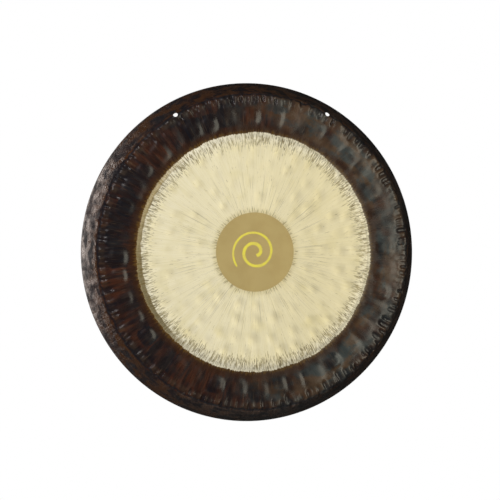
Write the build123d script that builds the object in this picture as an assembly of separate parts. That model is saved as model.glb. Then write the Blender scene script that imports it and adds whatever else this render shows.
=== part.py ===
from build123d import *

import os
from math import asin, atan2, cos, degrees, radians, sin, tan

# A 24 inch tam tam gong. One sheet of hammered bronze has a shallow crown, a step round the bright
# playing face, a flat dark ring and a rim turned back from it, with two holes to hang it by. A
# lacquered roundel with a painted spiral sits in the middle of the face.
#
# Frame, in millimetres: +Z up, the playing face looks towards -Y, and +X is on the right of
# somebody who faces the gong. The origin is halfway between the two holes, in the middle of the
# sheet's thickness. The gong's own axis is parallel to Y, below the origin.

# --- Driving dimensions -------------------------------------------------------------------------

SHEET_THICKNESS = 1.3

CROWN_BEND = 6400.0            # radius of the sphere that the playing face is part of
FACE_EDGE_RADIUS = 203.0       # where the playing face turns down into the step
STEP_BEND = 17.0               # radius of both bends of the S-shaped step
STEP_SLOPE = 22.5              # steepest slope of the step, degrees from the face plane
RING_SLOPE = 0.5               # the ring leans back by this much
RING_OUTER_RADIUS = 275.0      # where the ring meets the corner bend
CORNER_BEND = 12.0
WALL_SLOPE = 58.0              # slope of the rim wall beside the corner bend
BACK_EDGE_RADIUS = 304.8       # half of 24 inches, the size this gong is sold by
RIM_DEPTH = 57.0               # from the middle of the face to the ground back edge
GRINDING_ALLOWANCE = 1.0       # degrees of the wall's arc that are ground off flat

HOLE_RADIUS = 4.25
HOLE_SLOPE = 38.0              # where on the corner bend the holes are, square to the sheet
HOLE_ANGLE = 29.4              # how far round from the top each hole is, in degrees
DRILL_LENGTH = 10.0

ROUNDEL_RADIUS = 70.6
ROUNDEL_FILM = 0.15
MARK_FILM = 0.10
SPIRAL_INNER_RADIUS = 7.0      # the middle of the stroke where the spiral starts
SPIRAL_OUTER_RADIUS = 41.0     # the middle of the stroke where the spiral ends
SPIRAL_START = -60.0           # degrees from +X
SPIRAL_TURNS = 1.75
STROKE_WIDTH = 6.8             # of the spiral where it starts
TAIL_WIDTH = 3.6               # of the spiral where it ends
STROKE_POINTS = 25             # along each edge of the stroke
STROKE_REACH = 2.0             # half the height of the block that the painted film is cut from

# --- The section of the sheet -------------------------------------------------------------------
# The front line of the section runs from the middle of the face to the back edge. A point on it is
# (radius, depth behind the middle of the face), and its slope is measured from the face plane.


def arc_point(start, first_slope, slope, bend):
    """Where an arc from start has this slope; its bend is negative where it turns forwards."""
    first = radians(first_slope)
    last = radians(slope)
    return start[0] + bend * (sin(last) - sin(first)), start[1] + bend * (cos(first) - cos(last))


def under(point, slope, thickness):
    """The point this far under the front line, square to it."""
    lean = radians(slope)
    return point[0] - thickness * sin(lean), point[1] + thickness * cos(lean)


crown_slope = degrees(asin(FACE_EDGE_RADIUS / CROWN_BEND))
crown_middle = (0.0, 0.0)
crown_edge = arc_point(crown_middle, 0.0, crown_slope, CROWN_BEND)
step_middle = arc_point(crown_edge, crown_slope, STEP_SLOPE, STEP_BEND)
step_foot = arc_point(step_middle, STEP_SLOPE, RING_SLOPE, -STEP_BEND)
ring_fall = (RING_OUTER_RADIUS - step_foot[0]) * tan(radians(RING_SLOPE))
ring_outer = (RING_OUTER_RADIUS, step_foot[1] + ring_fall)
wall_top = arc_point(ring_outer, RING_SLOPE, WALL_SLOPE, CORNER_BEND)

# the wall is one arc that leaves the corner bend smoothly and passes through the back edge
wall_chord_slope = degrees(atan2(RIM_DEPTH - wall_top[1], BACK_EDGE_RADIUS - wall_top[0]))
back_slope = 2.0 * wall_chord_slope - WALL_SLOPE
wall_bend = (BACK_EDGE_RADIUS - wall_top[0]) / (sin(radians(back_slope)) - sin(radians(WALL_SLOPE)))

STEP_TO_FACE = [
    (crown_middle, 0.0, crown_slope, CROWN_BEND),
    (crown_edge, crown_slope, STEP_SLOPE, STEP_BEND),
    (step_middle, STEP_SLOPE, RING_SLOPE, -STEP_BEND),
]
RIM = [
    (ring_outer, RING_SLOPE, WALL_SLOPE, CORNER_BEND),
    (wall_top, WALL_SLOPE, back_slope + GRINDING_ALLOWANCE, wall_bend),
]

# --- The frame: the holes set the origin --------------------------------------------------------

hole_front = arc_point(ring_outer, RING_SLOPE, HOLE_SLOPE, CORNER_BEND)
hole_radius_out, hole_depth = under(hole_front, HOLE_SLOPE, SHEET_THICKNESS / 2.0)
axis_drop = hole_radius_out * cos(radians(HOLE_ANGLE))
gong_axis = Axis((0.0, 0.0, -axis_drop), (0.0, 1.0, 0.0))


def section_vector(point):
    """A section point in the part's frame, in the plane level with the gong's axis."""
    return Vector(point[0], point[1] - hole_depth, -axis_drop)


# --- Gong sheet ---------------------------------------------------------------------------------


def section_arc(stretch, thickness):
    """One arc of the section on the surface this far under the front one."""
    start, first_slope, last_slope, bend = stretch
    slopes = (first_slope, (first_slope + last_slope) / 2.0, last_slope)
    front = [(arc_point(start, first_slope, slope, bend), slope) for slope in slopes]
    return ThreePointArc(*[section_vector(under(point, slope, thickness)) for point, slope in front])


def section_line(thickness):
    """The whole line of the section on the surface this far under the front one."""
    ring_ends = [section_vector(under(point, RING_SLOPE, thickness)) for point in (step_foot, ring_outer)]
    face_arcs = [section_arc(stretch, thickness) for stretch in STEP_TO_FACE]
    rim_arcs = [section_arc(stretch, thickness) for stretch in RIM]
    return face_arcs + [Line(*ring_ends)] + rim_arcs


def gong_sheet():
    """The sheet turned about the gong's axis, its back edge ground flat, with its two holes."""
    front_line = section_line(0.0)
    back_line = section_line(SHEET_THICKNESS)
    middle_edge = Line(front_line[0] @ 0, back_line[0] @ 0)
    rim_edge = Line(front_line[-1] @ 1, back_line[-1] @ 1)
    section = make_face(front_line + back_line + [middle_edge, rim_edge])
    sheet = revolve(section, gong_axis, 360.0)
    ground_back = Plane(origin=(0.0, RIM_DEPTH - hole_depth, 0.0), z_dir=(0.0, 1.0, 0.0))
    sheet = split(sheet, bisect_by=ground_back, keep=Keep.BOTTOM)
    for side in (-1.0, 1.0):
        sheet -= hole_drill(side)
    return sheet


def hole_drill(side):
    """The drill of the suspension hole on this side, square to the corner bend."""
    around = radians(HOLE_ANGLE)
    lean = radians(HOLE_SLOPE)
    outwards = Vector(side * sin(around), 0.0, cos(around))
    centre = outwards * hole_radius_out - Vector(0.0, 0.0, axis_drop)
    square_out = outwards * sin(lean) - Vector(0.0, cos(lean), 0.0)
    return Plane(origin=centre, z_dir=square_out) * Cylinder(HOLE_RADIUS, DRILL_LENGTH)


# --- Centre roundel and its painted mark --------------------------------------------------------
# Both are films on the crown, so their faces are parts of spheres about the crown's own centre.

face_plane = Plane(origin=(0.0, -hole_depth, -axis_drop), x_dir=(1.0, 0.0, 0.0), z_dir=(0.0, -1.0, 0.0))


def film_disc(radius, inner_height, outer_height):
    """A round film between two heights over the crown."""
    heights = (inner_height, outer_height)
    slopes = [degrees(asin(radius / (CROWN_BEND + height))) for height in heights]
    crowns = [((0.0, -height), 0.0, slope, CROWN_BEND + height) for height, slope in zip(heights, slopes)]
    inner_line, outer_line = [section_arc(crown, 0.0) for crown in crowns]
    middle_edge = Line(inner_line @ 0, outer_line @ 0)
    round_edge = Line(inner_line @ 1, outer_line @ 1)
    return revolve(make_face([inner_line, outer_line, middle_edge, round_edge]), gong_axis, 360.0)


def stroke_width(share):
    """Width of the brush stroke at this share of the way along the spiral."""
    return STROKE_WIDTH + (TAIL_WIDTH - STROKE_WIDTH) * share


def spiral_point(share, across=0.0, ahead=0.0):
    """A point of the painted spiral: across is outwards from its middle line, ahead is along it."""
    angle = radians(SPIRAL_START + 360.0 * SPIRAL_TURNS * share)
    radius = SPIRAL_INNER_RADIUS + (SPIRAL_OUTER_RADIUS - SPIRAL_INNER_RADIUS) * share + across
    return radius * cos(angle) - ahead * sin(angle), radius * sin(angle) + ahead * cos(angle)


def centre_mark():
    """The spiral brush stroke with rounded ends, as a film on the roundel."""
    shares = [step / (STROKE_POINTS - 1) for step in range(STROKE_POINTS)]
    outer_edge = Spline(*[spiral_point(share, stroke_width(share) / 2.0) for share in shares])
    inner_edge = Spline(*[spiral_point(share, -stroke_width(share) / 2.0) for share in shares])
    start_tip = spiral_point(0.0, ahead=-stroke_width(0.0) / 2.0)
    tail_tip = spiral_point(1.0, ahead=stroke_width(1.0) / 2.0)
    start_cap = ThreePointArc(inner_edge @ 0, start_tip, outer_edge @ 0)
    tail_cap = ThreePointArc(inner_edge @ 1, tail_tip, outer_edge @ 1)
    stroke = make_face([outer_edge, tail_cap, inner_edge, start_cap])
    block = extrude(face_plane * stroke, amount=STROKE_REACH, both=True)
    return block & film_disc(ROUNDEL_RADIUS, ROUNDEL_FILM, ROUNDEL_FILM + MARK_FILM)


# --- One STEP file for each piece ---------------------------------------------------------------

PIECES = {
    "gong_sheet": gong_sheet(),
    "centre_roundel": film_disc(ROUNDEL_RADIUS, 0.0, ROUNDEL_FILM),
    "centre_mark": centre_mark(),
}

os.makedirs("parts", exist_ok=True)
for name, piece in PIECES.items():
    export_step(piece, f"parts/{name}.step")
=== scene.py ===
"""A 24 inch tam tam gong: one hammered bronze sheet, its lacquered roundel and a painted spiral.

Every size is in metres, in the CAD part's own frame: +Z up, the playing face towards -Y. The gong's
axis is parallel to Y, through the middle of the gong sheet's box.
"""

import math

import bpy
import numpy as np
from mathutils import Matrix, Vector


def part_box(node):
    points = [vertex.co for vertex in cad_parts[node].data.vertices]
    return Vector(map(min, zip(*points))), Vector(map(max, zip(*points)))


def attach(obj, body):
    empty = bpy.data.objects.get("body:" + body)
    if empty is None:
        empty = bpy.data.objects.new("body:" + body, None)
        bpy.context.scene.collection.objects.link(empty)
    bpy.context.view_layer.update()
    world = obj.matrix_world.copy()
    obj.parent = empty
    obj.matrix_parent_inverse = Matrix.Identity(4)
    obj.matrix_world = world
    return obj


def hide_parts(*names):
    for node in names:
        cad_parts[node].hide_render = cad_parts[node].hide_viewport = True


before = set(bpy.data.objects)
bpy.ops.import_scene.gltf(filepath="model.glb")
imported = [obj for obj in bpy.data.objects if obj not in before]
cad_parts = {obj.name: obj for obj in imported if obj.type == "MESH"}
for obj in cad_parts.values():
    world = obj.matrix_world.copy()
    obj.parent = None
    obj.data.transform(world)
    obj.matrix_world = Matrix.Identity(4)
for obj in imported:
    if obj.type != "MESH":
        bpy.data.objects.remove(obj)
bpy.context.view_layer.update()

# --- Gong sheet: its section --------------------------------------------------------------------
# The gong is one sheet of bronze, hammered cold until it has a shallow crown, a step round the
# playing face, a flat ring and a rim turned back over an anvil's edge.

SHEET_THICKNESS = 0.0013
CROWN_BEND = 6.4
FACE_EDGE_RADIUS = 0.203
STEP_BEND = 0.017
STEP_SLOPE = math.radians(22.5)
RING_SLOPE = math.radians(0.5)
RING_OUTER_RADIUS = 0.275
CORNER_BEND = 0.012
WALL_SLOPE = math.radians(58.0)
BACK_SLOPE = math.radians(74.7)
EDGE_ROUNDING = 0.0003
SECTION_SAMPLES = 8001

sheet_low, sheet_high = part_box("gong_sheet")
axis_height = (sheet_low.z + sheet_high.z) / 2
face_y = sheet_low.y
rim_radius = (sheet_high.z - sheet_low.z) / 2
rim_depth = sheet_high.y - sheet_low.y

crown_slope = math.asin(FACE_EDGE_RADIUS / CROWN_BEND)
step_width = STEP_BEND * (2 * math.sin(STEP_SLOPE) - math.sin(crown_slope) - math.sin(RING_SLOPE))
wall_top_radius = RING_OUTER_RADIUS + CORNER_BEND * (math.sin(WALL_SLOPE) - math.sin(RING_SLOPE))
wall_bend = (rim_radius - wall_top_radius) / (math.sin(BACK_SLOPE) - math.sin(WALL_SLOPE))

knot_slopes = [0.0, crown_slope, STEP_SLOPE, RING_SLOPE, RING_SLOPE, WALL_SLOPE, BACK_SLOPE]
stretch_lengths = [
    CROWN_BEND * crown_slope,
    STEP_BEND * (STEP_SLOPE - crown_slope),
    STEP_BEND * (STEP_SLOPE - RING_SLOPE),
    (RING_OUTER_RADIUS - FACE_EDGE_RADIUS - step_width) / math.cos(RING_SLOPE),
    CORNER_BEND * (WALL_SLOPE - RING_SLOPE),
    wall_bend * (BACK_SLOPE - WALL_SLOPE),
]
knots = np.concatenate(([0.0], np.cumsum(stretch_lengths)))
FACE_EDGE, _, STEP_FOOT, RING_EDGE, WALL_TOP, BACK_EDGE = knots[1:]

# the slope runs evenly along each bend; radius and depth are the running sums of its cosine and sine
fine_along = np.linspace(0.0, BACK_EDGE, SECTION_SAMPLES)
fine_slope = np.interp(fine_along, knots, knot_slopes)
fine_step = fine_along[1]
slope_between = fine_slope[1:] - np.diff(fine_slope) / 2
fine_radius = np.concatenate(([0.0], np.cumsum(np.cos(slope_between)) * fine_step))
fine_depth = np.concatenate(([0.0], np.cumsum(np.sin(slope_between)) * fine_step))


def section(along):
    """Radius, depth behind the crown, and slope at this distance along the front of the section."""
    radius = np.interp(along, fine_along, fine_radius)
    depth = np.interp(along, fine_along, fine_depth)
    return radius, depth, np.interp(along, fine_along, fine_slope)


def sheet_point(angle, along, height):
    """Points at a height over the front surface: the section's point plus height times its normal.

    The angle is anticlockwise from +X for somebody who faces the gong.
    """
    radius, depth, slope = section(along)
    out = radius + height * np.sin(slope)
    back = depth - height * np.cos(slope)
    return np.stack((out * np.cos(angle), face_y + back, axis_height + out * np.sin(angle)), axis=-1)


# --- Gong sheet: the hammer work ----------------------------------------------------------------
# Each zone shows its own round of hammering: four rows of soft dimples under the brushed face, small
# blows along the step, pillows on the dark ring, close peen marks over the corner and three rows of
# flats on the rim.

SWELL_COSINES = 24             # how many cosines make up one random swell
NO_BLOW = 0.3                  # the own number where no blow lies


def smooth(low, high, value):
    """0 below low, 1 above high, and the curve 3t^2 - 2t^3 between them."""
    share = np.clip((value - low) / (high - low), 0.0, 1.0)
    return share * share * (3.0 - 2.0 * share)


def wavy(angle, along, waves, pitch, seed):
    """An even random swell of about unit height: a sum of cosines of the angle and the distance.

    Each cosine has a whole number of waves round the gong, up to waves, and a length of at least
    pitch along the section, so the swell meets itself after one turn.
    """
    random = np.random.default_rng(seed)
    total = np.zeros(np.broadcast(angle, along).shape)
    for _ in range(SWELL_COSINES):
        turns = random.integers(-waves, waves + 1)
        per_length = random.uniform(-1.0, 1.0) * math.tau / pitch
        total = total + np.cos(turns * angle + per_length * along + random.uniform(0.0, math.tau))
    return total / math.sqrt(SWELL_COSINES / 2)


def blows(angle, along, middle, count, width, length, squareness, flatness, seed, spread=0.2, weakest=0.6):
    """One round of hammer blows side by side: how much of a blow lies here, and that blow's own number.

    Blow k is at k turns over count, shifted at random. With u and v the distances from its middle
    in half widths and half lengths, the blow falls smoothly from its force to 0 as
    (|u|^p + |v|^p)^(1/p) goes from flatness to 1, where p is the squareness. A blow's own number is
    random, between 0 and 1.
    """
    random = np.random.default_rng(seed)
    place = np.arange(count) + random.uniform(-spread, spread, count)
    shift = random.uniform(-spread, spread, count) * length * 0.5
    size = random.uniform(1.0 - spread, 1.0 + spread, count)
    force = random.uniform(weakest, 1.0, count)
    own_number = random.uniform(0.0, 1.0, count)
    radius = section(np.asarray(middle))[0]
    nearest = np.rint(np.mod(angle, math.tau) / math.tau * count).astype(int)
    best = np.zeros(np.broadcast(angle, along).shape)
    number = np.full(best.shape, NO_BLOW)
    for step in (-1, 0, 1):
        blow = np.mod(nearest + step, count)
        turn = np.mod(angle - place[blow] * math.tau / count + math.pi, math.tau) - math.pi
        u = np.abs(turn * radius) / (width / 2 * size[blow])
        v = np.abs(along - middle - shift[blow]) / (length / 2 * size[blow])
        distance = (u ** squareness + v ** squareness) ** (1.0 / squareness)
        share = force[blow] * (1.0 - smooth(flatness, 1.0, distance))
        number = np.where(share > best, own_number[blow], number)
        best = np.maximum(best, share)
    return best, number


# each round of blows: its place along the section, how many go round the gong, and the blow's shape
DIMPLE_DEPTH = 0.0020
DIMPLE_ROWS = (  # place along the section, how many, seed
    (0.098, 17, 20), (0.125, 20, 21), (0.156, 28, 22), (0.182, 33, 23),
)
DIMPLE = dict(width=0.025, length=0.025, squareness=2.0, flatness=0.0, weakest=0.3)
SCALLOP_DEPTH = 0.0004
SCALLOPS = dict(middle=FACE_EDGE + 0.001, count=78, width=0.017, length=0.009,
                squareness=2.0, flatness=0.1, seed=35)
PILLOW_HEIGHT = 0.0021
PILLOWS = dict(middle=(STEP_FOOT + RING_EDGE) / 2 - 0.001, count=40, width=0.041, length=0.040,
               squareness=2.8, flatness=0.42, seed=31, weakest=0.15)
PEEN_DEPTH = 0.0026
PEENS = dict(middle=RING_EDGE + 0.0005, count=156, width=0.0112, length=0.0230,
             squareness=2.4, flatness=0.30, seed=41, spread=0.34, weakest=0.2)
RIM_FLAT_DEPTH = 0.0009
RIM_ROWS = (  # place behind the top of the wall, how many, seed
    (0.008, 196, 51), (0.021, 180, 52), (0.034, 190, 53),
)
RIM_FLAT = dict(width=0.0095, length=0.016, squareness=2.4, flatness=0.2, spread=0.34, weakest=0.1)

# each swell between the blows: its height, then its waves, pitch and seed
FACE_SWELL = 0.00025
FACE_WAVES = dict(waves=7, pitch=0.16, seed=11)
BEND_SWELL = 0.00022
BEND_WAVES = dict(waves=260, pitch=0.014, seed=43)
RING_SWELL = 0.00010
RING_WAVES = dict(waves=70, pitch=0.08, seed=61)

# where a swell grows and where it dies away, along the section
FACE_SWELL_GROWS = (0.02, 0.09)
FACE_SWELL_FADES = (0.19, 0.21)
BEND_SWELL_GROWS = (RING_EDGE - 0.004, RING_EDGE + 0.003)
BEND_SWELL_FADES = (WALL_TOP - 0.002, WALL_TOP + 0.006)
RING_SWELL_GROWS = (STEP_FOOT, STEP_FOOT + 0.01)
RING_SWELL_FADES = (RING_EDGE, RING_EDGE + 0.008)
RELIEF_FADES = (BACK_EDGE - 0.012, BACK_EDGE - 0.002)


def relief(angle, along):
    """Height of the hammered surface over the smooth section, and the blows that show in its colour.

    The height is the sum of the swells and the rounds of blows, and is 0 at the back edge. The second
    result holds the shares of face dimples and of peen marks and rim flats, and each pillow's number.
    """
    height = FACE_SWELL * wavy(angle, along, **FACE_WAVES) * smooth(*FACE_SWELL_GROWS, along)
    height = height * (1.0 - smooth(*FACE_SWELL_FADES, along))
    dimples = np.zeros_like(height)
    for middle, count, seed in DIMPLE_ROWS:
        dimples = np.maximum(dimples, blows(angle, along, middle, count, seed=seed, **DIMPLE)[0])
    height = height - DIMPLE_DEPTH * dimples
    height = height - SCALLOP_DEPTH * blows(angle, along, **SCALLOPS)[0]
    pillows, tones = blows(angle, along, **PILLOWS)
    height = height + PILLOW_HEIGHT * pillows
    peens = blows(angle, along, **PEENS)[0]
    height = height - PEEN_DEPTH * peens
    on_bend = smooth(*BEND_SWELL_GROWS, along) * (1.0 - smooth(*BEND_SWELL_FADES, along))
    height = height + BEND_SWELL * wavy(angle, along, **BEND_WAVES) * on_bend
    for behind, count, seed in RIM_ROWS:
        flats = blows(angle, along, WALL_TOP + behind, count, seed=seed, **RIM_FLAT)[0]
        height = height - RIM_FLAT_DEPTH * flats
        peens = np.maximum(peens, flats)
    on_ring = smooth(*RING_SWELL_GROWS, along) * (1.0 - smooth(*RING_SWELL_FADES, along))
    height = height + RING_SWELL * wavy(angle, along, **RING_WAVES) * on_ring
    height = height * (1.0 - smooth(*RELIEF_FADES, along))
    return height, (dimples, peens, tones)


# --- Gong sheet: its mesh -----------------------------------------------------------------------
# The front and the back surface share one polar net, finer where the peen marks are close, and
# are joined round the ground back edge and through the two drilled holes.

HOLE_RADIUS = 0.00425
HOLE_SLOPE = math.radians(38.0)
HOLE_ANGLES = (math.radians(90.0 - 29.4), math.radians(90.0 + 29.4))
HOLE_ROUNDING = 0.0003
HOLE_CELLS = 3                 # cells of the net from a hole's middle to its side
LOOP_TOLERANCE = 1e-3          # in rings of the net, for points that lie on a hole's loop
PULL_FROM = 0.9                # the rings of the net that are drawn in round a hole
PULL_TO = 3.0
PLAIN_ROUND_HOLE = (0.005, 0.012)  # where the relief grows again, from a hole's middle

hole_along = RING_EDGE + CORNER_BEND * (HOLE_SLOPE - RING_SLOPE)
front_end = np.interp(rim_depth - EDGE_ROUNDING, fine_depth, fine_along)
back_depth = fine_depth + SHEET_THICKNESS * np.cos(fine_slope)
back_end = np.interp(rim_depth - EDGE_ROUNDING, back_depth, fine_along)

NET_ZONES = (  # where the zone ends along the section, its rows, its columns round the gong
    (0.018, 3, 75),
    (0.060, 6, 150),
    (FACE_EDGE - 0.004, 24, 300),
    (STEP_FOOT + 0.003, 8, 600),
    (RING_EDGE - 0.015, 16, 600),
    (hole_along, 10, 1200),
    (WALL_TOP + 0.002, 4, 1200),
    (front_end, 7, 1200),
)

row_along = [0.0]
row_columns = [1]
for zone_end, rows, columns in NET_ZONES:
    row_along += list(np.linspace(row_along[-1], zone_end, rows + 1)[1:])
    row_columns += [columns] * rows
row_along = np.array(row_along)
row_columns = np.array(row_columns)
row_start = np.concatenate(([0], np.cumsum(row_columns)))
side_count = row_start[-1]

net_along = np.repeat(row_along, row_columns)
net_angle = np.concatenate([np.arange(columns) * math.tau / columns for columns in row_columns])


def net_faces():
    """Faces of the net, anticlockwise from the front: squares, and triangles where columns double."""
    squares, triangles = [], []
    first_ring = np.arange(row_columns[1])
    middle = np.zeros_like(first_ring)
    triangles.append(np.stack((middle, 1 + first_ring, 1 + (first_ring + 1) % row_columns[1]), axis=-1))
    for row in range(1, len(row_columns) - 1):
        inner, outer = row_columns[row], row_columns[row + 1]
        inner_start, outer_start = row_start[row], row_start[row + 1]
        segment = np.arange(min(inner, outer))
        if inner == outer:
            after = (segment + 1) % inner
            square = (inner_start + segment, outer_start + segment, outer_start + after, inner_start + after)
            squares.append(np.stack(square, axis=-1))
        elif inner < outer:
            near, next_near = inner_start + segment, inner_start + (segment + 1) % inner
            far, halfway = outer_start + 2 * segment, outer_start + 2 * segment + 1
            next_far = outer_start + (2 * segment + 2) % outer
            triangles.append(np.stack((near, far, halfway), axis=-1))
            triangles.append(np.stack((near, halfway, next_near), axis=-1))
            triangles.append(np.stack((next_near, halfway, next_far), axis=-1))
        else:
            near, halfway = inner_start + 2 * segment, inner_start + 2 * segment + 1
            next_near = inner_start + (2 * segment + 2) % inner
            far, next_far = outer_start + segment, outer_start + (segment + 1) % outer
            triangles.append(np.stack((near, far, halfway), axis=-1))
            triangles.append(np.stack((halfway, far, next_far), axis=-1))
            triangles.append(np.stack((halfway, next_far, next_near), axis=-1))
    return np.concatenate(squares), np.concatenate(triangles)


hole_row = int(np.argmin(np.abs(row_along - hole_along)))
hole_middle_radius = float(section(hole_along)[0])
cell_width = hole_middle_radius * math.tau / row_columns[hole_row]
side_in = hole_along - row_along[hole_row - HOLE_CELLS]
side_out = row_along[hole_row + HOLE_CELLS] - hole_along
squares, triangles = net_faces()
hole_loops = []
square_kept = np.ones(len(squares), bool)
moved_angle, moved_along = net_angle.copy(), net_along.copy()
for hole_angle in HOLE_ANGLES:
    across = (np.mod(net_angle - hole_angle + math.pi, math.tau) - math.pi) * hole_middle_radius
    outwards = net_along - hole_along
    rings = np.maximum(np.abs(across) / (HOLE_CELLS * cell_width),
                       np.abs(outwards) / np.where(outwards < 0.0, side_in, side_out))
    on_loop = np.flatnonzero(np.abs(rings - 1.0) < LOOP_TOLERANCE)
    hole_loops.append(on_loop[np.argsort(np.arctan2(across[on_loop], outwards[on_loop]))])
    square_kept &= ~np.all(rings[squares] < 1.0 + LOOP_TOLERANCE, axis=1)
    # the square hole in the net is drawn in to a circle, and the net around it follows less and less
    near = (rings > PULL_FROM) & (rings < PULL_TO)
    pull = 1.0 - smooth(1.0, PULL_TO, rings[near])
    reach = np.hypot(across[near], outwards[near])
    shift = pull * (HOLE_RADIUS + HOLE_ROUNDING) / reach - pull / rings[near]
    moved_angle[near] += across[near] * shift / hole_middle_radius
    moved_along[near] += outwards[near] * shift
squares = squares[square_kept]

surface_height, surface_marks = relief(moved_angle, moved_along)
for hole_angle in HOLE_ANGLES:
    across = (np.mod(moved_angle - hole_angle + math.pi, math.tau) - math.pi) * hole_middle_radius
    surface_height *= smooth(*PLAIN_ROUND_HOLE, np.hypot(across, moved_along - hole_along))

front_points = sheet_point(moved_angle, moved_along, surface_height)
wall_squeeze = (back_end - WALL_TOP) / (front_end - WALL_TOP)
back_along = np.where(moved_along > WALL_TOP, WALL_TOP + (moved_along - WALL_TOP) * wall_squeeze, moved_along)
back_points = sheet_point(moved_angle, back_along, surface_height - SHEET_THICKNESS)

# the back edge is a flat ring whose two corners are rounded off
edge_angle = net_angle[row_start[-2]:]
back_end_radius = float(np.interp(back_end, fine_along, fine_radius - SHEET_THICKNESS * np.sin(fine_slope)))
edge_radii = (rim_radius - EDGE_ROUNDING, back_end_radius + EDGE_ROUNDING)
edge_rows = [
    np.stack((radius * np.cos(edge_angle), np.full_like(edge_angle, face_y + rim_depth),
              axis_height + radius * np.sin(edge_angle)), axis=-1)
    for radius in edge_radii
]

# each hole is a short tube square to the corner bend, with its two edges broken
hole_points = []
for hole_angle, loop in zip(HOLE_ANGLES, hole_loops):
    centre = sheet_point(np.array(hole_angle), np.array(hole_along), -SHEET_THICKNESS / 2)
    outer = sheet_point(np.array(hole_angle), np.array(hole_along), 0.0)
    square_out = (outer - centre) / np.linalg.norm(outer - centre)
    for points, inset in ((front_points, -HOLE_ROUNDING), (back_points, HOLE_ROUNDING)):
        from_centre = points[loop] - centre
        lengthways = from_centre @ square_out
        sideways = from_centre - np.outer(lengthways, square_out)
        direction = sideways / np.linalg.norm(sideways, axis=1)[:, None]
        points[loop] = centre + np.outer(lengthways, square_out) + direction * (HOLE_RADIUS + HOLE_ROUNDING)
        hole_points.append(centre + np.outer(lengthways + inset, square_out) + direction * HOLE_RADIUS)

FRONT_FINISH, BACK_FINISH = 0, 1
vertices = np.concatenate([front_points, back_points] + edge_rows + hole_points)
front_faces = [squares, triangles]
back_faces = [faces[:, ::-1] + side_count for faces in front_faces]


def strip(first, second):
    """Squares between two closed rows of points, outwards where the rows run like the net's."""
    return np.stack((first, second, np.roll(second, -1), np.roll(first, -1)), axis=-1)


columns = row_columns[-1]
front_rim = np.arange(row_start[-2], side_count)
back_rim = front_rim + side_count
outer_edge = 2 * side_count + np.arange(columns)
inner_edge = outer_edge + columns
edge_faces = [strip(front_rim, outer_edge), strip(outer_edge, inner_edge), strip(inner_edge, back_rim)]
hole_faces = []
next_point = 2 * side_count + 2 * columns
for loop in hole_loops:
    front_tube = next_point + np.arange(len(loop))
    back_tube = front_tube + len(loop)
    next_point += 2 * len(loop)
    hole_faces += [strip(front_tube, loop), strip(back_tube, front_tube), strip(loop + side_count, back_tube)]

all_faces = front_faces + edge_faces + hole_faces + back_faces
in_use = np.unique(np.concatenate([faces.ravel() for faces in all_faces]))
new_number = np.zeros(len(vertices), int)
new_number[in_use] = np.arange(len(in_use))

gong_mesh = bpy.data.meshes.new("hammered_sheet")
numbered_faces = [face for faces in all_faces for face in new_number[faces].tolist()]
gong_mesh.from_pydata(vertices[in_use], [], numbered_faces)
finish_index = np.full(len(gong_mesh.polygons), BACK_FINISH, np.int32)
finish_index[:sum(len(faces) for faces in front_faces + edge_faces + hole_faces)] = FRONT_FINISH
gong_mesh.polygons.foreach_set("material_index", finish_index)
gong_mesh.polygons.foreach_set("use_smooth", np.ones(len(gong_mesh.polygons), bool))
for label, marks in zip(("dimple", "peen", "tone"), surface_marks):
    shares = np.zeros(len(vertices), np.float32)
    shares[:side_count] = marks
    gong_mesh.attributes.new(label, "FLOAT", "POINT").data.foreach_set("value", shares[in_use])
gong_mesh.update()
gong = bpy.data.objects.new("hammered_sheet", gong_mesh)
bpy.context.scene.collection.objects.link(gong)
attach(gong, "root")
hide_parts("gong_sheet")

# --- Gong sheet: finishes -----------------------------------------------------------------------
# The face inside the step is wire-brushed outwards from the middle down to bright bronze. Ring,
# rim and back keep the dark oxide of the forge, brown to blue-black, under a thin wax.


def eye_colour(red, green, blue):
    """A shader colour from the 0 to 255 levels that a screen shows, by the sRGB curve."""
    levels = np.array([red, green, blue]) / 255.0
    linear = np.where(levels <= 0.04045, levels / 12.92, ((levels + 0.055) / 1.055) ** 2.4)
    return (*linear.tolist(), 1.0)


def plug(tree, socket, value):
    """Links another node's output to the socket, or sets the socket to a plain value."""
    if isinstance(value, bpy.types.NodeSocket):
        tree.links.new(value, socket)
    else:
        socket.default_value = value


def worked_out(tree, operation, *values):
    """The result of a Math node with this operation on these values."""
    node = tree.nodes.new("ShaderNodeMath")
    node.operation = operation
    for socket, value in zip(node.inputs, values):
        plug(tree, socket, value)
    return node.outputs[0]


def times(tree, first, second):
    """The product of two values."""
    return worked_out(tree, "MULTIPLY", first, second)


def rest_of(tree, share):
    """What a share leaves of the whole surface."""
    return worked_out(tree, "SUBTRACT", 1.0, share)


def ramp_node(tree, value, low, high, start=0.0, end=1.0):
    """The value carried smoothly from the range low to high into the range start to end."""
    node = tree.nodes.new("ShaderNodeMapRange")
    node.interpolation_type = "SMOOTHSTEP"
    for socket, setting in zip(node.inputs, (value, low, high, start, end)):
        plug(tree, socket, setting)
    return node.outputs[0]


def mixed_colour(tree, share, first, second):
    """Two colours mixed by share: all first at 0, all second at 1."""
    node = tree.nodes.new("ShaderNodeMix")
    node.data_type = "RGBA"
    plug(tree, node.inputs["Factor"], share)
    plug(tree, node.inputs["A"], first)
    plug(tree, node.inputs["B"], second)
    return node.outputs["Result"]


def mixed_value(tree, share, first, second):
    """Two values mixed by share: all first at 0, all second at 1."""
    node = tree.nodes.new("ShaderNodeMix")
    plug(tree, node.inputs["Factor"], share)
    plug(tree, node.inputs["A"], first)
    plug(tree, node.inputs["B"], second)
    return node.outputs["Result"]


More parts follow.
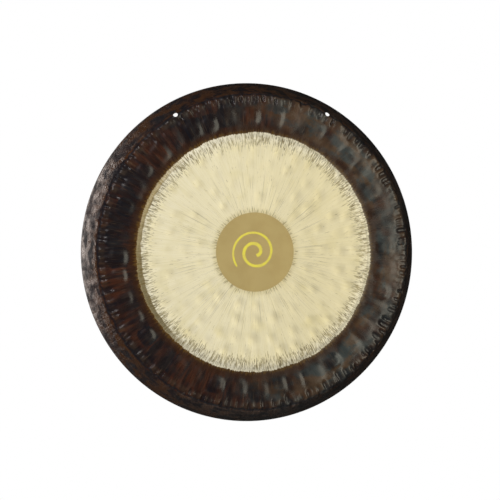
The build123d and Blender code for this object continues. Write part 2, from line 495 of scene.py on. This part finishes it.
def cloud_noise(tree, scale, detail):
    """A noise with no direction, on the piece's own coordinates."""
    node = tree.nodes.new("ShaderNodeTexNoise")
    node.inputs["Scale"].default_value = scale
    node.inputs["Detail"].default_value = detail
    plug(tree, node.inputs["Vector"], tree.nodes.new("ShaderNodeTexCoord").outputs["Object"])
    return node.outputs["Fac"]


def new_group(name, inputs, output):
    """A shader node group with these float inputs, given with their defaults, and one float output."""
    group = bpy.data.node_groups.new(name, "ShaderNodeTree")
    for label, default in inputs.items():
        socket = group.interface.new_socket(label, in_out="INPUT", socket_type="NodeSocketFloat")
        socket.default_value = default
    group.interface.new_socket(output, in_out="OUTPUT", socket_type="NodeSocketFloat")
    return group, group.nodes.new("NodeGroupInput").outputs, group.nodes.new("NodeGroupOutput").inputs


def place_group(tree, group, **settings):
    """Puts the group in a material with its own settings and returns its output."""
    node = tree.nodes.new("ShaderNodeGroup")
    node.node_tree = group
    for label, value in settings.items():
        plug(tree, node.inputs[label], value)
    return node.outputs[0]


NEXT_TO_AXIS = 1e-5            # the radius that nothing is divided below


def axis_split(tree):
    """Radius from the gong's axis and the two parts of the unit vector that points outwards."""
    parts = tree.nodes.new("ShaderNodeSeparateXYZ")
    plug(tree, parts.inputs["Vector"], tree.nodes.new("ShaderNodeTexCoord").outputs["Object"])
    sideways = parts.outputs["X"]
    rise = worked_out(tree, "SUBTRACT", parts.outputs["Z"], axis_height)
    square = worked_out(tree, "ADD", times(tree, sideways, sideways), times(tree, rise, rise))
    radius = worked_out(tree, "MAXIMUM", worked_out(tree, "SQRT", square), NEXT_TO_AXIS)
    return radius, worked_out(tree, "DIVIDE", sideways, radius), worked_out(tree, "DIVIDE", rise, radius)


# noise laid round the gong: Around features to a turn, each Length long along the radius
turned_grain, grain_in, grain_out = new_group(
    "turned_grain", {"Around": 100.0, "Length": 0.02, "Detail": 2.0, "Rough": 0.5, "Seed": 0.0}, "Grain")
grain_radius, grain_x, grain_z = axis_split(turned_grain)
grain_scale = worked_out(turned_grain, "DIVIDE", grain_in["Around"], math.tau)
grain_row = worked_out(turned_grain, "DIVIDE", grain_radius, grain_in["Length"])
grain_place = turned_grain.nodes.new("ShaderNodeCombineXYZ")
plug(turned_grain, grain_place.inputs["X"], times(turned_grain, grain_x, grain_scale))
plug(turned_grain, grain_place.inputs["Y"], worked_out(turned_grain, "ADD", grain_row, grain_in["Seed"]))
plug(turned_grain, grain_place.inputs["Z"], times(turned_grain, grain_z, grain_scale))
grain_noise = turned_grain.nodes.new("ShaderNodeTexNoise")
grain_noise.inputs["Scale"].default_value = 1.0
plug(turned_grain, grain_noise.inputs["Vector"], grain_place.outputs[0])
plug(turned_grain, grain_noise.inputs["Detail"], grain_in["Detail"])
plug(turned_grain, grain_noise.inputs["Roughness"], grain_in["Rough"])
plug(turned_grain, grain_out["Grain"], grain_noise.outputs["Fac"])

# 1 inside a circle about the gong's axis and 0 outside, with an edge this soft; Ragged moves the edge
circle_mask, circle_in, circle_out = new_group(
    "circle_mask", {"Radius": 0.1, "Soft": 0.001, "Ragged": 0.0}, "Inside")
circle_radius = worked_out(circle_mask, "ADD", axis_split(circle_mask)[0], circle_in["Ragged"])
circle_from = worked_out(circle_mask, "SUBTRACT", circle_in["Radius"], circle_in["Soft"])
circle_to = worked_out(circle_mask, "ADD", circle_in["Radius"], circle_in["Soft"])
plug(circle_mask, circle_out["Inside"],
     ramp_node(circle_mask, circle_radius, low=circle_from, high=circle_to, start=1.0, end=0.0))


def band(tree, inner, outer, soft):
    """1 between two radii and 0 elsewhere."""
    return worked_out(tree, "SUBTRACT", place_group(tree, circle_mask, Radius=outer, Soft=soft),
                      place_group(tree, circle_mask, Radius=inner, Soft=soft))


def zoned(tree, noise, zone, reach):
    """The noise lowered by reach outside a zone, so that a threshold finds more of it inside the zone."""
    return worked_out(tree, "SUBTRACT", worked_out(tree, "MULTIPLY_ADD", zone, reach, noise), reach)


def new_material(name):
    """A material with only its Principled shader, and that shader."""
    material = bpy.data.materials.new(name)
    material.use_nodes = True
    return material, material.node_tree, material.node_tree.nodes["Principled BSDF"]


def mark_share(tree, label):
    """How much of this kind of blow lies here, as the mesh keeps it."""
    node = tree.nodes.new("ShaderNodeAttribute")
    node.attribute_name = label
    return node.outputs["Fac"]


face_finish, face_tree, face_shader = new_material("brushed_and_oxidised_bronze")


def grain(around, length, seed, detail=2.0, rough=0.5):
    """The turned grain in the face's material: this many features round, each this long."""
    return place_group(face_tree, turned_grain, Around=around, Length=length, Seed=seed,
                       Detail=detail, Rough=rough)


def wandering(noise, by):
    """A grain made into a shift of an edge, by this much inwards or outwards."""
    return ramp_node(face_tree, noise, low=0.3, high=0.7, start=-by, end=by)


def tinted(colour, share, tint, strength=1.0):
    """The face's colour so far with a tint laid over this share of it, at this strength."""
    if strength != 1.0:
        share = times(face_tree, share, strength)
    return mixed_colour(face_tree, share, colour, tint)


# radii of the finish from the gong's axis; each zone's softness stands where the zone is used
UNDER_ROUNDEL = 0.060
HALO_END = 0.0760
TICKS_END = 0.0800
LONG_LINES_END = 0.135
TEAR_START = 0.187
HAZE_START = 0.197
BARE_STEP_START = 0.2050
BRUSHING_END = 0.2128
TEAR_END = 0.2160
HAZE_END = 0.230
GOLD_END = 0.2160
BROWN_FOOT_END = 0.2260
RIDGES_START = 0.2700
RIDGES_END = 0.2795
CORNER_START = 0.2800
CORNER_END = 0.2832
RIM_START = 0.2835

BRIGHT_BRONZE = eye_colour(244, 236, 206)
EDGE_WHITE = eye_colour(240, 235, 218)
SHADED_BRONZE = eye_colour(228, 217, 170)
# olive for the oxide left round the roundel, and for painted shade in the dimples and over the right of the
# face
OLIVE_RESIDUE_AND_SHADE = eye_colour(198, 184, 134)
# a duller gold, painted as shade on the left slope of the step
STEP_SHADE_GOLD = eye_colour(158, 136, 78)
STREAK_BROWN = eye_colour(112, 100, 68)
STREAK_OLIVE = eye_colour(168, 156, 118)
TICK_OLIVE = eye_colour(120, 104, 60)

# masks for painted light on the two sides: painted shade on the left slope of the step and over the right of
# the face, and a painted sheen mixed with tarnish over the right of the ring
across = face_tree.nodes.new("ShaderNodeSeparateXYZ")
plug(face_tree, across.inputs["Vector"], face_tree.nodes.new("ShaderNodeTexCoord").outputs["Object"])
left_side = ramp_node(face_tree, across.outputs["X"], low=-0.19, high=-0.10, start=1.0, end=0.0)
right_side = ramp_node(face_tree, across.outputs["X"], low=-0.10, high=0.16)

# the brushing stops low on the slope of the step, in a ragged edge
edge_tear = wandering(grain(700.0, 0.012, seed=1.0, detail=3.0), by=0.0010)
edge_drift = wandering(grain(30.0, 0.2, seed=14.0), by=0.0012)
bright = place_group(face_tree, circle_mask, Radius=BRUSHING_END, Soft=0.0007,
                     Ragged=worked_out(face_tree, "ADD", edge_tear, edge_drift))

# brush lines of two lengths, soft cloudy patches, painted olive shade in the dimples and painted olive shade
# over the right side of the face
brush = grain(1000.0, 0.07, seed=2.0, detail=4.0, rough=0.65)
long_lines = grain(520.0, 0.09, seed=16.0, detail=4.0, rough=0.7)
hazy = grain(24.0, 0.03, seed=6.0)
brushed = tinted(BRIGHT_BRONZE, ramp_node(face_tree, brush, low=0.38, high=0.66, end=0.55), SHADED_BRONZE)
brushed = tinted(brushed, ramp_node(face_tree, hazy, low=0.5, high=0.75, end=0.45), SHADED_BRONZE)
# painted olive shade in the dimples
brushed = tinted(brushed, mark_share(face_tree, "dimple"), OLIVE_RESIDUE_AND_SHADE, strength=0.28)
# painted olive shade over the right side of the face, where the right-hand light makes it too bright
brushed = tinted(brushed, right_side, OLIVE_RESIDUE_AND_SHADE, strength=0.30)
line_zone = band(face_tree, UNDER_ROUNDEL, LONG_LINES_END, soft=0.035)
lines = ramp_node(face_tree, long_lines, low=0.54, high=0.68, end=0.5)
brushed = tinted(brushed, times(face_tree, lines, line_zone), STREAK_BROWN)

# dark ticks where the brush skips: round the roundel, and thickly before the step
brushed = tinted(brushed, band(face_tree, UNDER_ROUNDEL, HALO_END, soft=0.007), OLIVE_RESIDUE_AND_SHADE, strength=0.45)
ticks = zoned(face_tree, grain(330.0, 0.016, seed=13.0, detail=4.0),
              band(face_tree, UNDER_ROUNDEL, TICKS_END, soft=0.009), reach=0.2)
brushed = tinted(brushed, ramp_node(face_tree, ticks, low=0.49, high=0.62, end=0.6), TICK_OLIVE)
brushed = tinted(brushed, band(face_tree, HAZE_START, HAZE_END, soft=0.010), EDGE_WHITE, strength=0.6)
tear_zone = band(face_tree, TEAR_START, TEAR_END, soft=0.012)
soft_tear = zoned(face_tree, grain(620.0, 0.016, seed=19.0, detail=4.0, rough=0.6), tear_zone, reach=0.14)
brushed = tinted(brushed, ramp_node(face_tree, soft_tear, low=0.48, high=0.58, end=0.8), STREAK_OLIVE)
tear_clumps = ramp_node(face_tree, grain(60.0, 0.05, seed=15.0), low=0.3, high=0.6, start=0.5)
sharp_tear = zoned(face_tree, grain(1000.0, 0.011, seed=4.0, detail=3.0, rough=0.6),
                   times(face_tree, tear_zone, tear_clumps), reach=0.18)
brushed = tinted(brushed, ramp_node(face_tree, sharp_tear, low=0.50, high=0.58, end=0.85), STREAK_BROWN)

# painted shade: on the left the slope of the step is painted a duller gold, from a wavy line outwards, and it
# is also a little smoother there
step_wave = wandering(grain(78.0, 0.3, seed=17.0), by=0.0012)
off_step = place_group(face_tree, circle_mask, Radius=BARE_STEP_START, Soft=0.0010, Ragged=step_wave)
shaded_left_step = times(face_tree, rest_of(face_tree, off_step), left_side)
brushed = tinted(brushed, shaded_left_step, STEP_SHADE_GOLD, strength=0.75)

RED_BROWN = eye_colour(48, 24, 14)
DEEP_BROWN = eye_colour(20, 11, 9)
BLUE_BLACK = eye_colour(14, 13, 17)
# an olive and a slate grey, for tarnish and for a painted sheen on the ring's right side
BLOOM_AND_SHEEN_OLIVE = eye_colour(72, 56, 40)
BLOOM_AND_SHEEN_SLATE = eye_colour(50, 56, 55)
WORN_OXIDE = eye_colour(80, 66, 50)
OLIVE_GOLD = eye_colour(96, 72, 28)
STEP_FOOT_BROWN = eye_colour(40, 22, 10)
RIM_BROWN = eye_colour(58, 36, 19)

# red-brown and blue-black oxide in patches drawn out along the radius, each pillow with its own tone
patches = times(face_tree, grain(34.0, 0.09, seed=3.0, detail=4.0, rough=0.6), 0.82)
pillow_tone = times(face_tree, mark_share(face_tree, "tone"), 0.18)
oxide_share = worked_out(face_tree, "ADD", patches, pillow_tone)
oxide = tinted(RED_BROWN, ramp_node(face_tree, oxide_share, low=0.40, high=0.58), BLUE_BLACK)
stripes = grain(130.0, 0.09, seed=23.0, detail=3.0, rough=0.6)
oxide = tinted(oxide, ramp_node(face_tree, stripes, low=0.46, high=0.62, end=0.75), BLUE_BLACK)
drawn = grain(260.0, 0.05, seed=5.0, detail=3.0, rough=0.6)
oxide = tinted(oxide, ramp_node(face_tree, drawn, low=0.42, high=0.60, end=0.6), DEEP_BROWN)
# a lighter olive-grey over the ring's right side: partly tarnish, partly a painted sheen of the light on the
# right
bloom_and_sheen = ramp_node(face_tree, grain(50.0, 0.03, seed=9.0, detail=3.0),
                  low=0.36, high=0.62, start=0.15, end=0.75)
tarnish = grain(26.0, 0.03, seed=24.0, detail=4.0, rough=0.65)
bloom_and_sheen_tone = tinted(BLOOM_AND_SHEEN_OLIVE, ramp_node(face_tree, tarnish, low=0.44, high=0.56), BLOOM_AND_SHEEN_SLATE)
oxide = tinted(oxide, times(face_tree, bloom_and_sheen, right_side), bloom_and_sheen_tone)
scratches = grain(1100.0, 0.025, seed=7.0)
oxide = tinted(oxide, ramp_node(face_tree, scratches, low=0.56, high=0.78, end=0.3), WORN_OXIDE)

# a brown foot with a gold edge next to the brushing, and worn ridges between the peen marks
oxide = tinted(oxide, place_group(face_tree, circle_mask, Radius=BROWN_FOOT_END, Soft=0.0060),
               STEP_FOOT_BROWN, strength=0.8)
gold_edge = wandering(grain(520.0, 0.02, seed=18.0, detail=3.0), by=0.0030)
oxide = tinted(oxide, place_group(face_tree, circle_mask, Radius=GOLD_END, Soft=0.0040, Ragged=gold_edge),
               OLIVE_GOLD, strength=0.42)
pit = mark_share(face_tree, "peen")
ridges = times(face_tree, band(face_tree, RIDGES_START, RIDGES_END, soft=0.003), rest_of(face_tree, pit))
oxide = tinted(oxide, ridges, WORN_OXIDE, strength=0.15)
oxide = tinted(oxide, pit, BLUE_BLACK, strength=0.8)

# a dark line along the corner, and brown and black patches on the rim
corner_drift = wandering(grain(170.0, 0.1, seed=20.0, detail=3.0), by=0.0022)
off_corner = place_group(face_tree, circle_mask, Radius=CORNER_START, Soft=0.0010, Ragged=corner_drift)
up_to_rim = place_group(face_tree, circle_mask, Radius=CORNER_END, Soft=0.0012, Ragged=corner_drift)
on_corner = times(face_tree, rest_of(face_tree, off_corner), up_to_rim)
oxide = tinted(oxide, on_corner, BLUE_BLACK, strength=0.9)
on_rim = rest_of(face_tree, place_group(face_tree, circle_mask, Radius=RIM_START, Soft=0.0015))
rim_patches = grain(70.0, 0.008, seed=21.0, detail=5.0, rough=0.65)
rim_colour = tinted(RIM_BROWN, ramp_node(face_tree, rim_patches, low=0.42, high=0.58), BLUE_BLACK)
oxide = tinted(oxide, on_rim, rim_colour, strength=0.7)
plug(face_tree, face_shader.inputs["Base Color"], mixed_colour(face_tree, bright, oxide, brushed))

# brushed metal inside, waxed oxide outside, duller at the corner and in patches on the rim
metal = ramp_node(face_tree, shaded_left_step, low=0.0, high=1.0, start=0.56, end=0.82)
plug(face_tree, face_shader.inputs["Metallic"], times(face_tree, bright, metal))
wax = ramp_node(face_tree, grain(160.0, 0.02, seed=8.0, detail=3.0), low=0.3, high=0.7, start=0.22, end=0.34)
rim_dulling = times(face_tree, ramp_node(face_tree, rim_patches, low=0.40, high=0.60, end=0.45), on_rim)
oxide_roughness = worked_out(face_tree, "ADD", wax, rim_dulling)
oxide_roughness = worked_out(face_tree, "ADD", oxide_roughness, times(face_tree, on_corner, 0.2))
brushed_roughness = ramp_node(face_tree, shaded_left_step, low=0.0, high=1.0, start=0.45, end=0.42)
plug(face_tree, face_shader.inputs["Roughness"],
     mixed_value(face_tree, bright, oxide_roughness, brushed_roughness))

# brush lines on the face, faint scratches on the ring and a fine hammer-scale grain on the rim
scale_grain = times(face_tree, times(face_tree, cloud_noise(face_tree, scale=380.0, detail=4.0), on_rim), 4.0)
dark_skin = worked_out(face_tree, "MULTIPLY_ADD", long_lines, 0.12, scale_grain)
face_bump = face_tree.nodes.new("ShaderNodeBump")
face_bump.inputs["Strength"].default_value = 0.5
face_bump.inputs["Distance"].default_value = 0.0005
plug(face_tree, face_bump.inputs["Height"], mixed_value(face_tree, bright, dark_skin, brush))
plug(face_tree, face_shader.inputs["Normal"], face_bump.outputs["Normal"])

back_finish, back_tree, back_shader = new_material("oxidised_bronze")
back_patches = ramp_node(back_tree, cloud_noise(back_tree, scale=16.0, detail=6.0), low=0.38, high=0.60)
plug(back_tree, back_shader.inputs["Base Color"],
     mixed_colour(back_tree, back_patches, RED_BROWN, BLUE_BLACK))
back_shader.inputs["Roughness"].default_value = 0.42

gong_mesh.materials.append(face_finish)
gong_mesh.materials.append(back_finish)

# --- Centre roundel -----------------------------------------------------------------------------
# The middle of the face is masked while the rest is brushed, and keeps a round film of matte tan
# lacquer that is laid on by hand.

ROUNDEL_RADIUS = 0.0706
ROUNDEL_HEIGHT = 0.00015
ROUNDEL_ROWS = 24
ROUNDEL_COLUMNS = 180


def over_crown(across, up, height):
    """Points this far over the hammered crown, at distances to the right of and above its middle."""
    radius = np.hypot(across, up)
    angle = np.arctan2(up, across)
    along = CROWN_BEND * np.arcsin(radius / CROWN_BEND)
    return sheet_point(angle, along, relief(angle, along)[0] + height)


def closed_skin(name, points):
    """A closed skin over a net of points, given as rows by columns, in which each row closes on itself.

    The first row and the last are each a single place, and become one vertex.
    """
    rows, columns = points.shape[:2]
    body = points[1:-1].reshape(-1, 3)
    first, last = len(body), len(body) + 1
    row, column = np.meshgrid(np.arange(rows - 3), np.arange(columns), indexing="ij")
    after = (column + 1) % columns
    near, far = row * columns, (row + 1) * columns
    squares = np.stack((near + column, far + column, far + after, near + after), axis=-1).reshape(-1, 4)
    turn = np.arange(columns)
    next_turn = (turn + 1) % columns
    end_row = (rows - 3) * columns
    start_fan = np.stack((np.full(columns, first), turn, next_turn), axis=-1)
    end_fan = np.stack((np.full(columns, last), end_row + next_turn, end_row + turn), axis=-1)
    mesh = bpy.data.meshes.new(name)
    vertices = np.concatenate((body, points[:1, 0], points[-1:, 0]))
    mesh.from_pydata(vertices, [], [*squares.tolist(), *start_fan.tolist(), *end_fan.tolist()])
    mesh.polygons.foreach_set("use_smooth", np.ones(len(mesh.polygons), bool))
    mesh.update()
    piece = bpy.data.objects.new(name, mesh)
    bpy.context.scene.collection.objects.link(piece)
    return piece


# the film's rows run out over its top, closer and closer, round its thin edge and back to the middle
film_share = 1.0 - np.linspace(1.0, 0.0, ROUNDEL_ROWS) ** 2
film_radius = np.concatenate((film_share, film_share[::-1])) * ROUNDEL_RADIUS
film_height = np.concatenate((np.full(ROUNDEL_ROWS, ROUNDEL_HEIGHT), np.zeros(ROUNDEL_ROWS)))
film_angle = np.arange(ROUNDEL_COLUMNS) * math.tau / ROUNDEL_COLUMNS
film_across = film_radius[:, None] * np.cos(film_angle)
film_up = film_radius[:, None] * np.sin(film_angle)
roundel = closed_skin("lacquered_roundel", over_crown(film_across, film_up, film_height[:, None]))

TAN_LACQUER = eye_colour(182, 162, 110)
DARK_LACQUER = eye_colour(170, 148, 96)

lacquer, lacquer_tree, lacquer_shader = new_material("tan_lacquer")
lacquer_cloud = ramp_node(lacquer_tree, cloud_noise(lacquer_tree, scale=34.0, detail=5.0),
                          low=0.35, high=0.7, end=0.5)
laid_on = mixed_colour(lacquer_tree, lacquer_cloud, TAN_LACQUER, DARK_LACQUER)
strokes = place_group(lacquer_tree, turned_grain, Around=220.0, Length=0.05, Detail=3.0, Seed=12.0)
edge_strokes = times(lacquer_tree, ramp_node(lacquer_tree, strokes, low=0.45, high=0.7, end=0.3),
                     band(lacquer_tree, inner=0.0655, outer=0.080, soft=0.004))
plug(lacquer_tree, lacquer_shader.inputs["Base Color"],
     mixed_colour(lacquer_tree, edge_strokes, laid_on, DARK_LACQUER))
lacquer_shader.inputs["Roughness"].default_value = 0.42
lacquer_shader.inputs["Metallic"].default_value = 0.50
roundel.data.materials.append(lacquer)
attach(roundel, "root")
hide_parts("centre_roundel")

# --- Centre mark --------------------------------------------------------------------------------
# A plain spiral is painted on the roundel in one stroke of a round brush, full where the brush is
# set down and thinner where it leaves.

SPIRAL_INNER_RADIUS = 0.007
SPIRAL_OUTER_RADIUS = 0.041
SPIRAL_START = math.radians(-60.0)
SPIRAL_TURNS = 1.75
STROKE_WIDTH = 0.0068
TAIL_WIDTH = 0.0036
PAINT_HEIGHT = 0.00010
TREMORS = ((0.05, 37.0, 0.0), (0.03, 91.0, 1.0))  # share of the width, waves along the stroke, phase
OVAL_SQUARENESS = 0.5          # below 1, the stroke's section has a flat top and upright sides
TIP_THINNING = 0.3             # how fast the paint gets thin towards a tip
STROKE_ROWS = 300
TIP_ROWS = 7
STROKE_SIDES = 16


def brush_stroke():
    """The skin of the stroke: a flat oval carried along the spiral, closing in a round end at each tip.

    At a share t of the spiral the middle is at a radius and an angle that grow evenly with t. The
    half width follows the stroke's taper, a little unsteady, and falls as a quarter circle at the tips.
    """
    length = math.tau * SPIRAL_TURNS * (SPIRAL_INNER_RADIUS + SPIRAL_OUTER_RADIUS) / 2
    tip = STROKE_WIDTH / 2 / length
    round_end = tip * np.cos(np.linspace(0.0, math.pi / 2, TIP_ROWS, endpoint=False))
    share = np.concatenate((-round_end, np.linspace(0.0, 1.0, STROKE_ROWS), 1.0 + round_end[::-1]))
    width = STROKE_WIDTH + (TAIL_WIDTH - STROKE_WIDTH) * np.clip(share, 0.0, 1.0)
    width = width * (1.0 + sum(part * np.sin(waves * share + phase) for part, waves, phase in TREMORS))
    past_tip = np.maximum(np.maximum(-share, share - 1.0) / tip, 0.0)
    half = width / 2 * np.sqrt(np.clip(1.0 - past_tip ** 2, 0.0, 1.0))
    angle = SPIRAL_START + math.tau * SPIRAL_TURNS * share
    middle = SPIRAL_INNER_RADIUS + (SPIRAL_OUTER_RADIUS - SPIRAL_INNER_RADIUS) * share
    turn = -np.arange(STROKE_SIDES) * math.tau / STROKE_SIDES
    radius = middle[:, None] + half[:, None] * np.cos(turn)
    flat_oval = np.sign(np.sin(turn)) * np.abs(np.sin(turn)) ** OVAL_SQUARENESS
    fullness = (half / half.max())[:, None] ** TIP_THINNING
    height = ROUNDEL_HEIGHT + PAINT_HEIGHT * (0.5 - 0.5 * flat_oval) * fullness
    return over_crown(radius * np.cos(angle)[:, None], radius * np.sin(angle)[:, None], height)


mark = closed_skin("painted_spiral", brush_stroke())

PAINT_YELLOW = eye_colour(190, 180, 66)
THIN_YELLOW = eye_colour(180, 168, 76)

paint, paint_tree, paint_shader = new_material("yellow_brush_paint")
thin_places = ramp_node(paint_tree, cloud_noise(paint_tree, scale=160.0, detail=3.0), low=0.35, high=0.7)
plug(paint_tree, paint_shader.inputs["Base Color"],
     mixed_colour(paint_tree, thin_places, PAINT_YELLOW, THIN_YELLOW))
paint_shader.inputs["Roughness"].default_value = 0.5
mark.data.materials.append(paint)
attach(mark, "root")
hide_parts("centre_mark")

# --- Studio -------------------------------------------------------------------------------------
# The gong hangs over a pale floor and before a white backdrop. A wide soft light stands ahead on the
# right, a soft one that isn't mirrored and a raised strip ahead on the left, and a strip behind on
# the left, with a weak fill all round.

FLOOR_DROP = 2.6
FLOOR_HALF_SIZE = 1.2
FLOOR_WHITE = (0.82, 0.82, 0.80, 1.0)
STUDIO_WHITE = (1.0, 1.0, 1.0, 1.0)
FILL_STRENGTH = 0.04
BACKDROP_STRENGTH = 1.0

middle = (0.0, face_y + rim_depth / 2, axis_height)
floor_height = axis_height - FLOOR_DROP
floor_mesh = bpy.data.meshes.new("studio_floor")
floor_corners = [(x * FLOOR_HALF_SIZE, y * FLOOR_HALF_SIZE, floor_height)
                 for x, y in ((-1, -1), (1, -1), (1, 1), (-1, 1))]
floor_mesh.from_pydata(floor_corners, [], [(0, 1, 2, 3)])
floor = bpy.data.objects.new("studio_floor", floor_mesh)
bpy.context.scene.collection.objects.link(floor)
floor_finish, _, floor_shader = new_material("pale_floor")
floor_shader.inputs["Base Color"].default_value = FLOOR_WHITE
floor_shader.inputs["Roughness"].default_value = 0.8
floor_mesh.materials.append(floor_finish)


def soft_light(name, azimuth, elevation, distance, width, height, power, colour, mirrored=True):
    """A rectangular light that faces the gong from an azimuth to the right of its front.

    A light that isn't mirrored lights the gong but is kept out of its reflections.
    """
    turn, lift = math.radians(azimuth), math.radians(elevation)
    data = bpy.data.lights.new(name, "AREA")
    data.shape = "RECTANGLE"
    data.size, data.size_y = width, height
    data.energy, data.color = power, colour
    light = bpy.data.objects.new(name, data)
    away = (math.sin(turn) * math.cos(lift), -math.cos(turn) * math.cos(lift), math.sin(lift))
    light.location = [start + distance * part for start, part in zip(middle, away)]
    light.rotation_euler = (math.pi / 2 - lift, 0.0, turn)
    light.visible_glossy = mirrored
    bpy.context.scene.collection.objects.link(light)


soft_light("right_softbox", azimuth=33.0, elevation=1.0, distance=4.0, width=1.45, height=2.4,
           power=35.0, colour=(1.0, 0.95, 0.78))
soft_light("left_softbox", azimuth=-42.0, elevation=8.0, distance=2.6, width=1.2, height=1.2,
           power=110.0, colour=(1.0, 0.99, 0.96), mirrored=False)
soft_light("upper_left_strip", azimuth=-24.0, elevation=24.0, distance=4.0, width=0.25, height=1.2,
           power=18.0, colour=(1.0, 0.97, 0.98))
soft_light("back_left_strip", azimuth=-135.0, elevation=5.0, distance=2.2, width=0.8, height=2.0,
           power=27.0, colour=(1.0, 0.93, 0.88))

world = bpy.data.worlds.new("white_studio")
bpy.context.scene.world = world
world.use_nodes = True
world_tree = world.node_tree
fill = world_tree.nodes["Background"]
fill.inputs["Color"].default_value = STUDIO_WHITE
fill.inputs["Strength"].default_value = FILL_STRENGTH
backdrop = world_tree.nodes.new("ShaderNodeBackground")
backdrop.inputs["Color"].default_value = STUDIO_WHITE
backdrop.inputs["Strength"].default_value = BACKDROP_STRENGTH
seen = world_tree.nodes.new("ShaderNodeLightPath")
backdrop_mix = world_tree.nodes.new("ShaderNodeMixShader")
world_tree.links.new(seen.outputs["Is Camera Ray"], backdrop_mix.inputs[0])
world_tree.links.new(fill.outputs[0], backdrop_mix.inputs[1])
world_tree.links.new(backdrop.outputs[0], backdrop_mix.inputs[2])
world_tree.links.new(backdrop_mix.outputs[0], world_tree.nodes["World Output"].inputs["Surface"])
bpy.context.scene.view_settings.view_transform = "Standard"

# --- Camera -------------------------------------------------------------------------------------
# A long lens stands a little to the left of the gong's axis, about level with its middle, and is
# turned slightly about its line of sight because the gong hangs a little crooked.

CAMERA_DISTANCE = 4.5
CAMERA_AZIMUTH = math.radians(-11.5)
CAMERA_ROLL = math.radians(0.85)
FIELD_OF_VIEW = math.radians(11.30)
AIM_RIGHT = -0.0088
AIM_UP = 0.0038

camera_data = bpy.data.cameras.new("camera")
camera_data.sensor_fit = "HORIZONTAL"
camera_data.angle = FIELD_OF_VIEW
camera = bpy.data.objects.new("camera", camera_data)
bpy.context.scene.collection.objects.link(camera)
right = (math.cos(CAMERA_AZIMUTH), math.sin(CAMERA_AZIMUTH))
aim = (right[0] * AIM_RIGHT, face_y + right[1] * AIM_RIGHT, axis_height + AIM_UP)
camera.location = (aim[0] + CAMERA_DISTANCE * math.sin(CAMERA_AZIMUTH),
                   aim[1] - CAMERA_DISTANCE * math.cos(CAMERA_AZIMUTH), aim[2])
camera.rotation_euler = (math.pi / 2, CAMERA_ROLL, CAMERA_AZIMUTH)
bpy.context.scene.camera = camera
